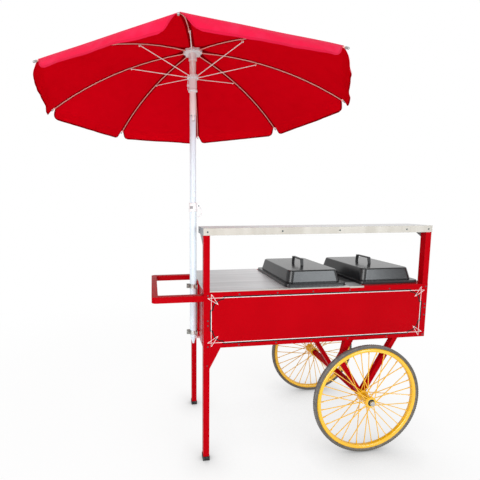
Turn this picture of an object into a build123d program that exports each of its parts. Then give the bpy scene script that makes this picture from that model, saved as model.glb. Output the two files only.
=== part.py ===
from build123d import *
from math import cos, pi, radians, sin
import os

# Hot dog cart: a red steel box on two spoked wheels and two legs, with two lidded
# pans, an overshelf, a push handle and a folding umbrella on a telescopic mast.
# Millimetres. The origin is the middle of the front left foot's sole. +X runs along
# the cart to its wheeled end, +Y from the customer's side to the seller's, +Z is up.

# Box frame of square steel tube
tube = 32.0
tube_wall = 2.0
box_length = 1250.0
box_depth = 490.0
box_bottom = 625.0
box_top = 925.0
panel_sheet = 1.2
foot_sole = 5.0
foot_height = 22.0
foot_wall = 2.5
gusset_run = 58.0
gusset_drop = 112.0
gusset_plate = 3.0

# Stainless top, overshelf and its end brackets
top_sheet = 1.5
worktop_lip = 25.0
divider_lip = 8.0
front_hem = 4.0
top_joint = 1.0
shelf_rise = 321.0
shelf_lip = 36.0
shelf_depth = 160.0
bracket_run = 124.0
bracket_drop = 85.0
bracket_plate = 3.0

# Push handle
handle_reach = 262.0
handle_drop = 37.0
handle_outer_round = 22.0
handle_inner_round = 6.0

# Wheels, hubs and axle
wheel_radius = 305.0
wheel_x = 880.0
wheel_outset = 35.0
tyre_width = 30.0
tyre_height = 17.0
tyre_shoulder = 6.0
tyre_seat_gap = 0.1
rim_height = 22.0
rim_width = 24.0
rim_round = 9.0
hub_length = 74.0
hub_barrel_r = 21.0
hub_bore_gap = 1.0
hub_boss_r = 25.0
hub_flange_r = 30.0
hub_flange_width = 10.0
hub_flange_inset = 2.0
spoke_pairs = 9
spoke_r = 2.2
spoke_splay = 3.0
spoke_lead = 26.0
spoke_end_gap = 0.6
spindle_r = 10.0
thread_r = 8.0
thread_length = 15.0
bearing_r = 19.0
bearing_width = 9.0
running_fit = 0.05
seat_fit = 0.02
nut_flats = 24.0
nut_height = 11.0
axle_end_play = 0.4
axle_beam = 28.0
brace_bar = 25.0
brace_wall = 2.0
brace_foot = 10.0
brace_knee = 126.0
brace_knee_rise = 195.0
brace_left_top = 101.0
brace_right_top = 183.0
second_pair_share = 0.56

# Pans, lids and fuel cans
pan_rim_x = 344.0
pan_rim_y = 440.0
pan_rim_height = 16.0
pan_rim_sheet = 2.0
pan_rim_round = 22.0
pan_ledge = 26.0
pan_depth = 110.0
pan_taper = 12.0
pan_wall = 1.5
pan_corner = 30.0
pan_pitch = 426.0
pan_post_gap = 2.0
lid_overlap = 7.0
lid_flange = 5.0
lid_height = 65.0
lid_taper = 13.0
lid_wall = 1.5
lid_top_round = 9.0
lid_handle_length = 116.0
lid_handle_height = 38.0
lid_handle_width = 16.0
lid_handle_bar = 6.0
lid_handle_foot = 3.5
lid_handle_rake = 5.0
can_r = 42.0
can_height = 62.0
can_rim = 3.0
can_spacing = 200.0

# Mast: bracket, clamps, telescopic tubes, collar and tilt joint
mast_y = 164.0
bracket_bar = 6.0
bracket_bar_width = 50.0
bracket_bar_over = 14.0
lower_pole_r = 19.0
lower_pole_wall = 1.8
lower_pole_length = 725.0
spike_length = 52.0
spike_tip_r = 5.0
spike_plug = 40.0
clamp_band = 2.0
clamp_height = 24.0
clamp_lug = 16.0
clamp_gap = 3.0
clamp_lug_plate = 4.0
bolt_flats = 11.0
bolt_head = 5.0
clamp_bolt_spacing = 38.0
mid_pole_r = 16.8
mid_pole_wall = 1.6
mid_pole_insert = 450.0
slide_fit = 0.4
collar_wall = 4.0
collar_below = 27.0
collar_above = 23.0
collar_bevel = 3.0
lug_reach = 17.0
lug_width = 18.0
lug_height = 30.0
lever_slot = 8.4
lever_width = 7.6
lever_pin_r = 2.5
lever_pin_out = 30.0
lever_pin_up = 6.0
lever_hub_r = 6.0
lever_wire_r = 2.6
lever_bend = 8.0
lever_route = [(16.0, -17.0), (17.0, -44.0), (6.0, -60.0), (-4.5, -56.0)]
mid_pole_rise = 470.0
tilt_barrel = 35.0
tilt_round = 16.3
tilt_depth = 17.2
tongue = 13.0
tongue_gap = 0.4
tilt_pin_r = 4.0
tilt_pin_length = 30.0

# Umbrella: crown, runner, ribs, struts and cloth
rib_count = 8
rib_heading = -100.7
head_rise = 335.0
crown_pin_r = 38.0
crown_disc_r = 42.0
crown_lobe_r = 12.0
crown_plate = 12.0
crown_sleeve_r = 21.0
crown_sleeve = 34.0
finial_neck_r = 8.0
finial_r = 15.0
runner_drop = 125.0
runner_pin_r = 23.5
runner_flange_r = 30.0
runner_flange = 14.0
runner_barrel_r = 21.0
runner_length = 78.0
runner_foot_r = 24.0
runner_foot = 7.0
runner_fit = 0.6
hinge_pin_r = 1.5
hinge_slot = 3.2
hinge_room = 1.0
hinge_pin_seat = 1.0
hinge_tab = 2.4
hinge_eye_r = 4.0
hinge_tab_reach = 17.0
tip_radius = 778.0
tip_drop = 271.0
rib_r = 2.25
rib_bow = 44.0
rib_bends = 10
rib_cap_r = 4.0
rib_cap = 12.0
rib_cap_over = 2.0
clip_along = 299.0
clip_drop = 8.0
clip_plate = 4.6
strut_r = 2.0
strut_offset = 5.5
strut_eye = 4.0
strut_eye_over = 0.6
pivot_gap = 0.4
cloth = 1.6
cloth_gap = 1.0
cloth_edge = 15.0
crown_cover = 56.0
cloth_shoulder = 92.0
valance = 60.0
valance_flare = 30.0
valance_notch = 8.0
valance_slant = 14.0
valance_round = 18.0
cloth_rings = 9
catch_length = 46.0
catch_plate = 4.0
catch_width = 6.0
catch_out = 26.0
catch_drop = 40.0
catch_pin_r = 1.5
catch_eye_r = 3.0
catch_ear = 2.5
catch_ear_gap = 0.2

# Places worked out from the sizes above
half = tube / 2
right_x = box_length - tube
back_y = box_depth - tube
second_pair_y = back_y * second_pair_share
left_face, right_face = -half, right_x + half
front_face, back_face = -half, back_y + half
floor_top = box_bottom + tube + panel_sheet
shelf_top = box_top + shelf_rise
shelf_under = shelf_top - top_sheet
handle_mid_z = box_top - handle_drop
pan_right_x = right_x - half - pan_post_gap - pan_rim_x / 2
pan_left_x = pan_right_x - pan_pitch
pan_y = back_y / 2
rim_top = box_top + pan_rim_height
lid_top = rim_top + lid_height
rim_outer_r = wheel_radius - tyre_height - tyre_seat_gap
rim_inner_r = rim_outer_r - rim_height
bracket_face = left_face - panel_sheet - bracket_bar
mast_x = bracket_face - clamp_band - running_fit - lower_pole_r
lower_pole_base = box_bottom
lower_pole_top = lower_pole_base + lower_pole_length
tilt_z = lower_pole_top + mid_pole_rise
crown_z = tilt_z + head_rise
runner_z = crown_z - runner_drop
tip_z = crown_z - tip_drop
rib_angles = [rib_heading + 360.0 / rib_count * i for i in range(rib_count)]


def block(x0, x1, y0, y1, z0, z1):
    """A box between pairs of limits."""
    size = (x1 - x0, y1 - y0, z1 - z0)
    return Pos((x0 + x1) / 2, (y0 + y1) / 2, (z0 + z1) / 2) * Box(*size)


def square_tube(x0, x1, y0, y1, z0, z1, run):
    """A hollow square tube that fills the limits and is open at both ends of its run."""
    wall = {axis: 0.0 if axis == run else tube_wall for axis in "xyz"}
    bore = block(x0 + wall["x"], x1 - wall["x"], y0 + wall["y"], y1 - wall["y"],
                 z0 + wall["z"], z1 - wall["z"])
    return block(x0, x1, y0, y1, z0, z1) - bore


def rod(start, end, radius):
    """A round bar from point to point."""
    start, end = Vector(*start), Vector(*end)
    return Solid.make_cylinder(radius, (end - start).length, Plane(start, z_dir=end - start))


def ring(outer_r, inner_r, z0, z1):
    """A round sleeve about the Z axis."""
    return Pos(0, 0, z0) * extrude(Circle(outer_r) - Circle(inner_r), z1 - z0)


def disc(radius, z0, z1):
    """A round plate about the Z axis."""
    return Pos(0, 0, z0) * extrude(Circle(radius), z1 - z0)


def hexagon(flats, height):
    """A hexagonal head standing on the XY plane."""
    return extrude(RegularPolygon(flats / 2, 6, major_radius=False), height)


# Posts, rails, feet and gussets

def post(x, y, z0, z1):
    return square_tube(x - half, x + half, y - half, y + half, z0, z1, "z")


def box_rails():
    """Four rails at the top of the box, four at the bottom, and one under the floor for the axle braces."""
    middle = (second_pair_y - half, second_pair_y + half)
    rails = [square_tube(half, right_x - half, *middle, box_bottom, box_bottom + tube, "x")]
    for z0 in (box_bottom, box_top - tube):
        for y in (0, back_y):
            rails.append(square_tube(half, right_x - half, y - half, y + half, z0, z0 + tube, "x"))
        for x in (0, right_x):
            rails.append(square_tube(x - half, x + half, half, back_y - half, z0, z0 + tube, "y"))
    return Compound(rails)


def foot_caps():
    """A rubber cap on the end of each leg."""
    caps = []
    for y in (0, back_y):
        reach = half + foot_wall
        cap = block(-reach, reach, y - reach, y + reach, 0, foot_height)
        caps.append(cap - block(-half, half, y - half, y + half, foot_sole, foot_height))
    return Compound(caps)


def corner_plate(corner, run_end, drop_end, thickness, plane_x_dir):
    """A three-cornered plate in the upright plane through its corner."""
    plane = Plane(corner, x_dir=plane_x_dir, z_dir=Vector(*plane_x_dir).cross(Vector(0, 0, 1)))
    outline = make_face(Polyline((0, 0), (run_end, 0), (0, -drop_end), close=True))
    return extrude(plane * outline, thickness / 2, both=True)


def leg_gussets():
    """Two plates under the box at the head of each leg, one of them flush with its outer face."""
    plates = []
    flush = half - gusset_plate / 2
    for y, inward in ((0, 1), (back_y, -1)):
        corner = (half, y - inward * flush, box_bottom)
        plates.append(corner_plate(corner, gusset_run, gusset_drop, gusset_plate, (1, 0, 0)))
        plates.append(corner_plate((0, y + inward * half, box_bottom), gusset_run, gusset_drop, gusset_plate,
                                   (0, inward, 0)))
    return Compound(plates)


# Panels, worktop and overshelf

def end_panels():
    """The sheets that close the two ends of the box, between the posts."""
    span = (half, back_y - half, box_bottom, box_top)
    return Compound([block(left_face - panel_sheet, left_face, *span),
                     block(right_face, right_face + panel_sheet, *span)])


def floor_panel():
    """The sheet that lies on the bottom rails, notched for the posts."""
    floor = block(0, right_x, 0, back_y, box_bottom + tube, floor_top)
    for x in (0, right_x):
        for y in (0, back_y):
            floor -= block(x - half, x + half, y - half, y + half, box_bottom + tube, floor_top)
    return floor


def worktop():
    """The stainless top: a sheet beside the pans, strips before and beside the left pan, and a front hem."""
    under, over = box_top, box_top + top_sheet
    edge = pan_left_x - pan_rim_x / 2 - top_joint
    top = block(left_face, edge, front_face, back_face, under, over)
    top += block(edge - top_sheet, edge, half, back_y - half, under - worktop_lip, under)
    top -= block(left_face, half, front_face, half, under, over)
    x0 = pan_left_x + pan_rim_x / 2 + top_joint
    x1 = pan_right_x - pan_rim_x / 2 - top_joint
    front = front_face - panel_sheet
    strip = block(x0, x1, front - top_sheet, back_face + top_sheet, under, over)
    strip += block(x0, x1, front - top_sheet, front, under - divider_lip, under)
    strip += block(x0, x1, back_face, back_face + top_sheet, under - divider_lip, under)
    hem = block(half, x0, front - top_sheet, front_face, under, over)
    hem += block(half, x0, front - top_sheet, front, under - front_hem, under)
    rim_front = pan_y - pan_rim_y / 2
    return top + strip + hem + block(edge, x0, front_face, rim_front - top_joint, under, over)


def overshelf():
    """A stainless tray turned upside down over the two front posts."""
    x0, x1 = left_face - top_sheet, right_face + top_sheet
    y0 = front_face - top_sheet
    y1 = y0 + shelf_depth
    tray = block(x0, x1, y0, y1, shelf_top - shelf_lip, shelf_top)
    return tray - block(x0 + top_sheet, x1 - top_sheet, y0 + top_sheet, y1 - top_sheet,
                        shelf_top - shelf_lip, shelf_under)


def shelf_brackets():
    """A plate behind each front post, flush with its outer face, that carries the back of the overshelf."""
    flush = half - bracket_plate / 2
    return Compound([corner_plate((x, half, shelf_under), bracket_run, bracket_drop, bracket_plate, (0, 1, 0))
                     for x in (-flush, right_x + flush)])


def push_handle():
    """A level loop of square tube from the front left post round to the back left leg."""
    def loop(inset):
        height = tube - 2 * inset
        width = box_depth - 2 * inset
        far = left_face - handle_reach + inset
        near = far + height
        outer = Pos((far + left_face) / 2, pan_y) * Rectangle(left_face - far, width)
        inner = Pos((near + left_face) / 2, pan_y) * Rectangle(left_face - near, width - 2 * height)
        outer = fillet(outer.vertices().group_by(Axis.X)[0], handle_outer_round - inset)
        inner = fillet(inner.vertices().group_by(Axis.X)[0], handle_inner_round + inset)
        return Pos(0, 0, handle_mid_z - height / 2) * extrude(outer - inner, height)
    return loop(0) - loop(tube_wall)


# Axle and wheels. Each wheel is made about the Z axis, outer side up, then laid on the axle.

def on_axle(piece, side):
    """Lay a piece made about +Z on the axle: side -1 is the customer's wheel, +1 the seller's."""
    y = front_face - wheel_outset if side < 0 else back_face + wheel_outset
    return Pos(wheel_x, y, wheel_radius) * Rot(X=-90 * side) * piece


def axle_crossbeam():
    """The square bar between the hubs."""
    near = front_face - wheel_outset + hub_length / 2 + axle_end_play
    far = back_face + wheel_outset - hub_length / 2 - axle_end_play
    reach = axle_beam / 2
    return block(wheel_x - reach, wheel_x + reach, near, far, wheel_radius - reach, wheel_radius + reach)


def axle_braces():
    """Two pairs of tubes from the box down to the axle: the left one bent, the right one straight."""
    foot_z = wheel_radius + axle_beam / 2
    knee_z = wheel_radius + brace_knee_rise
    bent = [(-brace_foot, foot_z), (-brace_knee, knee_z), (-brace_left_top, box_bottom)]
    straight = [(brace_foot, foot_z), (brace_right_top, box_bottom)]
    hole = brace_bar - 2 * brace_wall
    braces = []
    for y in (0, second_pair_y):
        for route, side in ((bent, -1), (straight, 1)):
            spots = [Vector(wheel_x + across, y, z) for across, z in route]
            along = (spots[1] - spots[0]).normalized()
            upward = (spots[-1] - spots[-2]).normalized()
            spots[0] -= along * 2 * brace_bar
            spots[-1] += upward * 2 * brace_bar
            plane = Plane(spots[0], x_dir=(0, 1, 0), z_dir=along)
            line = Polyline(*spots)
            outer, inner = (sweep(plane * Rectangle(size, size), path=line, transition=Transition.RIGHT)
                            for size in (brace_bar, hole))
            x0, x1 = sorted((wheel_x, wheel_x + side * box_depth))
            room = block(x0, x1, y - brace_bar, y + brace_bar, foot_z, box_bottom)
            braces.append(((outer - inner) & room).solid())
    return Compound(braces)


def axle_spindles():
    """The round end of the axle inside each hub, and the nut that keeps the wheel on."""
    pieces = []
    inner = -hub_length / 2 - axle_end_play
    outer = hub_length / 2 + axle_end_play
    for side in (-1, 1):
        shaft = disc(spindle_r, inner, outer) + disc(thread_r, outer, outer + thread_length)
        nut = Pos(0, 0, outer) * hexagon(nut_flats, nut_height)
        nut -= disc(thread_r + seat_fit, outer, outer + nut_height)
        pieces += [on_axle(shaft, side), on_axle(nut, side)]
    return Compound(pieces)


def wheel_bearings():
    """A bearing on the spindle at each end of each hub."""
    pieces = []
    end = hub_length / 2
    for side in (-1, 1):
        for z0 in (-end, end - bearing_width):
            race = ring(bearing_r, spindle_r + seat_fit, z0, z0 + bearing_width)
            pieces.append(on_axle(race, side))
    return Compound(pieces)


def hub(side):
    """A barrel with a flange near each end, bored for the bearings."""
    end = hub_length / 2
    body = disc(hub_barrel_r, -end, end)
    for z0 in (-end, end - hub_flange_inset - hub_flange_width):
        boss = disc(hub_boss_r, z0, z0 + hub_flange_inset + hub_flange_width)
        flange_z = z0 + hub_flange_inset if z0 < 0 else z0
        body += boss + disc(hub_flange_r, flange_z, flange_z + hub_flange_width)
    body -= disc(spindle_r + hub_bore_gap, -end, end)
    for z0 in (-end, end - bearing_width):
        body -= disc(bearing_r + running_fit, z0, z0 + bearing_width)
    return on_axle(body, side)


def spokes(side):
    """Two crossed sets of straight spokes from each flange, which meet at the rim's middle."""
    bars = []
    flange_mid = hub_length / 2 - hub_flange_inset - hub_flange_width / 2
    near_r = hub_flange_r + spoke_end_gap + spoke_r / 2
    far_r = rim_inner_r - spoke_end_gap
    step = 2 * pi / (2 * spoke_pairs)
    for flange in (-1, 1):
        for i in range(2 * spoke_pairs):
            lead = radians(spoke_lead) * (1 if i % 2 else -1)
            far_angle = (i + (flange + 1) / 4) * step
            near_angle = far_angle - lead
            near_z = flange * flange_mid + spoke_splay * (1 if i % 2 else -1)
            bars.append(rod((near_r * cos(near_angle), near_r * sin(near_angle), near_z),
                            (far_r * cos(far_angle), far_r * sin(far_angle), 0), spoke_r))
    return on_axle(Compound(bars), side)


def turned(profile):
    """A ring made by turning a section, drawn as radius and height, about the Z axis."""
    return revolve(Plane.XZ * profile, Axis.Z)


def rim(side):
    section = Pos((rim_outer_r + rim_inner_r) / 2, 0) * RectangleRounded(rim_height, rim_width, rim_round)
    return on_axle(turned(section), side)


def tyre(side):
    """A solid rubber tyre with a round tread."""
    seat = rim_outer_r + tyre_seat_gap
    wall = tyre_width / 2
    shoulder = seat + tyre_shoulder
    outline = [Line((seat, -wall + rim_round), (shoulder, -wall)),
               ThreePointArc((shoulder, -wall), (wheel_radius, 0), (shoulder, wall)),
               Line((shoulder, wall), (seat, wall - rim_round)),
               Line((seat, wall - rim_round), (seat, -wall + rim_round))]
    return on_axle(turned(make_face(outline)), side)


# Pans, lids and fuel cans

def tray(x, y, top_z, depth, taper, corner):
    """A solid block with rounded corners that narrows downwards."""
    upper = Pos(0, 0, top_z) * RectangleRounded(x, y, corner)
    lower = Pos(0, 0, top_z - depth) * RectangleRounded(x - 2 * taper, y - 2 * taper, corner)
    return loft([lower, upper])


def pan(x):
    """A deep pan with a folded rim, whose skirt stands on the front and back rails."""
    mouth_x, mouth_y = pan_rim_x - 2 * pan_ledge, pan_rim_y - 2 * pan_ledge
    outer_x, outer_y = mouth_x + 2 * pan_wall, mouth_y + 2 * pan_wall
    top, fold = pan_rim_height, pan_rim_sheet
    body = extrude(RectangleRounded(pan_rim_x, pan_rim_y, pan_rim_round), top)
    under_x, under_y = pan_rim_x - 2 * fold, pan_rim_y - 2 * fold
    body -= extrude(RectangleRounded(under_x, under_y, pan_rim_round - fold), top - fold)
    body += tray(outer_x, outer_y, top, top + pan_depth, pan_taper, pan_corner + pan_wall)
    body -= tray(mouth_x, mouth_y, top, top + pan_depth - pan_wall, pan_taper, pan_corner)
    return Pos(x, pan_y, box_top) * body


def lid(x):
    """A hollow lid with sloping sides and a flat flange that rests on the pan's rim."""
    foot_x = pan_rim_x - 2 * pan_ledge + 2 * lid_overlap
    foot_y = pan_rim_y - 2 * pan_ledge + 2 * lid_overlap
    corner = pan_corner

    def outline(inset, z, radius):
        return Pos(0, 0, z) * RectangleRounded(foot_x - 2 * inset, foot_y - 2 * inset, radius)

    def dome(inset, height):
        radius = corner - inset
        return loft([outline(inset, lid_flange, radius), outline(lid_taper + inset, height, radius)])

    outer = dome(0, lid_height)
    outer = fillet(outer.faces().sort_by(Axis.Z)[-1].edges(), lid_top_round)
    outer += extrude(outline(0, 0, corner), lid_flange)
    inner = dome(lid_wall, lid_height - lid_wall)
    inner = fillet(inner.faces().sort_by(Axis.Z)[-1].edges(), lid_top_round - lid_wall)
    inner += extrude(outline(lid_wall, 0, corner - lid_wall), lid_flange)
    return Pos(x, pan_y, rim_top) * (outer - inner)


def lid_handle(x):
    """A strap handle along the middle of the lid, with a flat foot at each end."""
    reach, height = lid_handle_length / 2, lid_handle_height
    bend = reach - lid_handle_rake
    under, soffit = height - lid_handle_bar, bend - lid_handle_bar
    foot = lid_handle_foot
    outer = Polyline((-reach, 0), (-bend, height), (bend, height), (reach, 0), close=True)
    gap = Polyline((-bend, 0), (-bend, foot), (-soffit, under), (soffit, under), (bend, foot), (bend, 0),
                   close=True)
    strap = extrude(Plane.YZ * (make_face(outer) - make_face(gap)), lid_handle_width / 2, both=True)
    return Pos(x, pan_y, lid_top) * strap


def fuel_cans():
    """Two cans of cooking fuel on the floor under each pan."""
    can = disc(can_r, 0, can_height) - disc(can_r - can_rim, can_height - can_rim, can_height)
    return Compound([Pos(x, pan_y + side * can_spacing / 2, floor_top) * can
                     for x in (pan_left_x, pan_right_x) for side in (-1, 1)])


# Mast

def on_mast(piece):
    return Pos(mast_x, mast_y) * piece


def mast_bracket():
    """A flat bar down the left end of the box that carries the mast's clamps."""
    return block(bracket_face, left_face - panel_sheet, mast_y - bracket_bar_width / 2,
                 mast_y + bracket_bar_width / 2, box_bottom - bracket_bar_over, box_top + bracket_bar_over)


def pole_clamps():
    """A split band round the pole at each rail, on a plate bolted to the bracket."""
    pieces = []
    inner_r = lower_pole_r + running_fit
    outer_r = inner_r + clamp_band
    lug_end = -outer_r - clamp_lug
    lug_side = clamp_gap / 2 + clamp_lug_plate
    for z in (box_bottom + half, box_top - half):
        z0, z1 = z - clamp_height / 2, z + clamp_height / 2
        band = disc(outer_r, z0, z1)
        band += block(inner_r, outer_r, -bracket_bar_width / 2, bracket_bar_width / 2, z0, z1)
        band += block(lug_end, -inner_r, -lug_side, lug_side, z0, z1)
        band -= block(lug_end, 0, -clamp_gap / 2, clamp_gap / 2, z0, z1)
        band -= disc(inner_r, z0, z1)
        pieces.append(on_mast(band))
        head = hexagon(bolt_flats, bolt_head)
        for side in (-1, 1):
            lug_bolt = Pos((lug_end - outer_r) / 2, side * lug_side, z) * Rot(X=-90 * side) * head
            plate_bolt = Pos(inner_r, side * clamp_bolt_spacing / 2, z) * Rot(Y=-90) * head
            pieces += [on_mast(lug_bolt), on_mast(plate_bolt)]
    return Compound(pieces)


def lower_pole():
    """The outer mast tube and the pointed plug in its foot."""
    bore = lower_pole_r - lower_pole_wall
    pipe = ring(lower_pole_r, bore, lower_pole_base, lower_pole_top)
    spike = Pos(0, 0, lower_pole_base - spike_length / 2) * Cone(spike_tip_r, lower_pole_r, spike_length)
    spike += disc(bore - running_fit, lower_pole_base, lower_pole_base + spike_plug)
    return Compound([on_mast(pipe), on_mast(spike)])


def lock_collar():
    """A plastic collar on the lower pole's head, with a lug and a cross pin for its lever."""
    base, top = lower_pole_top - collar_below, lower_pole_top + collar_above
    outer_r = lower_pole_r + collar_wall
    body = chamfer(disc(outer_r, base, top).edges(), collar_bevel)
    lug_z = lower_pole_top + lever_pin_up
    reach = lower_pole_r + lug_reach
    body += block(0, reach, -lug_width / 2, lug_width / 2, lug_z - lug_height / 2, lug_z + lug_height / 2)
    body -= block(outer_r, reach, -lever_slot / 2, lever_slot / 2, base, top + lug_height)
    body += rod((lever_pin_out, -lug_width / 2, lug_z), (lever_pin_out, lug_width / 2, lug_z), lever_pin_r)
    body -= disc(lower_pole_r + running_fit, base, lower_pole_top)
    body -= disc(mid_pole_r + slide_fit, lower_pole_top, top + lug_height)
    return on_mast(body)


def clamp_lever():
    """The collar's lever: a hub on the cross pin and a bent loop that hangs from it."""
    pin_z = lower_pole_top + lever_pin_up
    bends = [(lever_pin_out + across, pin_z + up) for across, up in lever_route]
    path = Plane.XZ * FilletPolyline((lever_pin_out, pin_z), *bends, radius=lever_bend)
    section = Plane(path @ 0, z_dir=path % 0) * Circle(lever_wire_r)
    lever = sweep(section, path=path)
    hub_ends = [(lever_pin_out, side * lever_width / 2, pin_z) for side in (-1, 1)]
    lever += rod(*hub_ends, lever_hub_r)
    lever -= rod(*hub_ends, lever_pin_r + running_fit)
    return on_mast(lever)


def cross_rod(radius, length):
    """A round bar along X through the tilt joint's pivot."""
    return Pos(0, 0, tilt_z) * Rot(Y=90) * Cylinder(radius, length)


def mid_pole():
    """The inner mast tube, with the fork of the tilt joint on its head and the pivot pin."""
    base = lower_pole_top - mid_pole_insert
    barrel = tilt_z - tilt_barrel
    pipe = ring(mid_pole_r, mid_pole_r - mid_pole_wall, base, barrel)
    fork = disc(mid_pole_r, barrel, tilt_z)
    fork += disc(mid_pole_r, tilt_z, tilt_z + tilt_round) & cross_rod(tilt_round, 2 * mid_pole_r)
    slot = tongue / 2 + tongue_gap
    fork -= block(-slot, slot, -mid_pole_r, mid_pole_r, tilt_z - tilt_depth, tilt_z + tilt_round)
    fork -= cross_rod(tilt_pin_r + seat_fit, 2 * mid_pole_r)
    pin = cross_rod(tilt_pin_r, tilt_pin_length)
    return Compound([on_mast(pipe + fork), on_mast(pin)])


def upper_pole():
    """The tilting head of the mast: the joint's tongue, a barrel and the tube up to the crown."""
    barrel = tilt_z + tilt_barrel
    head = disc(mid_pole_r, tilt_z + tilt_depth, barrel)
    web = disc(mid_pole_r, tilt_z - tilt_round, tilt_z + tilt_depth)
    web &= block(-tongue / 2, tongue / 2, -mid_pole_r, mid_pole_r, tilt_z, tilt_z + tilt_depth) \
        + cross_rod(tilt_round, tongue)
    head += web
    head -= cross_rod(tilt_pin_r + running_fit, 2 * mid_pole_r)
    head += ring(mid_pole_r, mid_pole_r - mid_pole_wall, barrel, crown_z - crown_plate / 2)
    return on_mast(head)


# Umbrella. Ribs and struts are drawn in the plane of X and Z, then turned to their headings.

def hinge_seats(body, pin_r, z, plate, outer_r, offset):
    """Cut a slot for each rib or strut in a round body, and put a hinge pin across each slot."""
    for angle in rib_angles:
        side = hinge_slot / 2
        slot = block(pin_r - hinge_eye_r - hinge_room, outer_r + hinge_room, offset - side, offset + side,
                     z - plate, z + plate)
        body -= Rot(Z=angle) * slot
        reach = side + hinge_pin_seat
        pin = rod((pin_r, offset - reach, z), (pin_r, offset + reach, z), hinge_pin_r)
        body += Rot(Z=angle) * pin
    return body


def crown():
    """The lobed disc that carries the ribs, its sleeve on the pole and the finial above the cloth."""
    low, high = crown_z - crown_plate / 2, crown_z + crown_plate / 2
    plate = disc(crown_disc_r, low, high)
    for angle in rib_angles:
        plate += Rot(Z=angle) * Pos(crown_pin_r) * disc(crown_lobe_r, low, high)
    plate = hinge_seats(plate, crown_pin_r, crown_z, crown_plate, crown_pin_r + crown_lobe_r, 0)
    sleeve = ring(crown_sleeve_r, mid_pole_r + running_fit, low - crown_sleeve, low)
    neck_top = high + 2 * cloth_gap + 2 * cloth
    dome = Sphere(finial_r, arc_size1=0, align=(Align.CENTER, Align.CENTER, Align.MIN))
    finial = disc(finial_neck_r, high, neck_top) + Pos(0, 0, neck_top) * dome
    return on_mast(plate + sleeve + finial)


def runner():
    """The sliding sleeve that carries the struts, with ears for its catch."""
    top = runner_z + runner_flange / 2
    base = top - runner_length
    body = disc(runner_flange_r, runner_z - runner_flange / 2, top) + disc(runner_barrel_r, base, top)
    body += disc(runner_foot_r, base, base + runner_foot)
    catch_z = runner_z - catch_drop
    ear_in = catch_width / 2 + catch_ear_gap
    for side in (-1, 1):
        y0, y1 = sorted((side * ear_in, side * (ear_in + catch_ear)))
        body += block(-catch_out - hinge_eye_r, 0, y0, y1, catch_z - hinge_eye_r, catch_z + hinge_eye_r)
    reach = ear_in + catch_ear
    body += rod((-catch_out, -reach, catch_z), (-catch_out, reach, catch_z), catch_pin_r)
    body = hinge_seats(body, runner_pin_r, runner_z, runner_flange, runner_flange_r, strut_offset)
    return on_mast(body - disc(mid_pole_r + runner_fit, base, top))


def runner_catch():
    """The thumb catch that rocks on the runner's ears."""
    eye_ends = [(-catch_out, side * catch_width / 2, runner_z - catch_drop) for side in (-1, 1)]
    plate = Pos(-catch_out, 0, runner_z - catch_drop) * Box(catch_plate, catch_width, catch_length)
    plate += rod(*eye_ends, catch_eye_r)
    plate -= rod(*eye_ends, catch_pin_r + running_fit)
    return on_mast(plate)


rib_hinge = Vector(crown_pin_r, 0, crown_z)
rib_tip = Vector(tip_radius, 0, tip_z)
rib_along = (rib_tip - rib_hinge).normalized()
rib_normal = Vector(-rib_along.Z, 0, rib_along.X)
rib_root = rib_hinge + rib_along * hinge_tab_reach
rib_line = ThreePointArc(rib_root, (rib_root + rib_tip) * 0.5 + rib_normal * rib_bow, rib_tip)
clip_top = rib_line @ ((clip_along - hinge_tab_reach) / rib_line.length)
clip_pivot = clip_top - rib_normal * clip_drop
strut_hinge = Vector(runner_pin_r, 0, runner_z)


def hinge_tab_plate(hinge, end, offset):
    """The flat tab between a hinge's eye and the rod that it carries."""
    along = (end - hinge).normalized()
    plane = Plane(hinge + Vector(0, offset, 0), x_dir=along, z_dir=(0, 1, 0))
    length = (end - hinge).length
    outline = Circle(hinge_eye_r) + Pos(length / 2, 0) * Rectangle(length, 2 * rib_r)
    outline -= Circle(hinge_pin_r + running_fit)
    return extrude(plane * outline, hinge_tab / 2, both=True)


def rib(angle):
    """One rib: a hinge tab, a rod bent along its bow, a clip for the strut and a cap on the tip."""
    spots = [rib_line @ (i / rib_bends) for i in range(rib_bends + 1)]
    section = Plane(rib_root, z_dir=spots[1] - spots[0]) * Circle(rib_r)
    body = sweep(section, path=Polyline(*spots), transition=Transition.RIGHT)
    body += hinge_tab_plate(rib_hinge, rib_root + rib_along, 0)
    clip_plane = Plane(clip_top, x_dir=rib_along, z_dir=(0, -1, 0))
    clip = clip_plane * (Pos(0, -clip_drop / 2) * Rectangle(2 * hinge_eye_r, clip_drop)
                         + Pos(0, -clip_drop) * Circle(hinge_eye_r))
    body += extrude(clip, clip_plate / 2, both=True)
    end = rib_tip + (rib_line % 1) * rib_cap_over
    body += rod(end - (rib_line % 1) * rib_cap, end, rib_cap_r) + Pos(end) * Sphere(rib_cap_r)
    return on_mast(Rot(Z=angle) * body)


def strut(angle):
    """One strut: a hinge tab on the runner, a straight rod and an eye beside the rib's clip."""
    along = (clip_pivot - strut_hinge).normalized()
    shift = Vector(0, strut_offset, 0)
    root = strut_hinge + along * hinge_tab_reach
    body = rod(root + shift, clip_pivot + shift, strut_r)
    body += hinge_tab_plate(strut_hinge, root + along, strut_offset)
    eye_near = clip_plate / 2 + pivot_gap
    eye_far = strut_offset + strut_r + strut_eye_over
    body += rod(clip_pivot + Vector(0, eye_near, 0), clip_pivot + Vector(0, eye_far, 0), strut_eye)
    return on_mast(Rot(Z=angle) * body)


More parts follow.
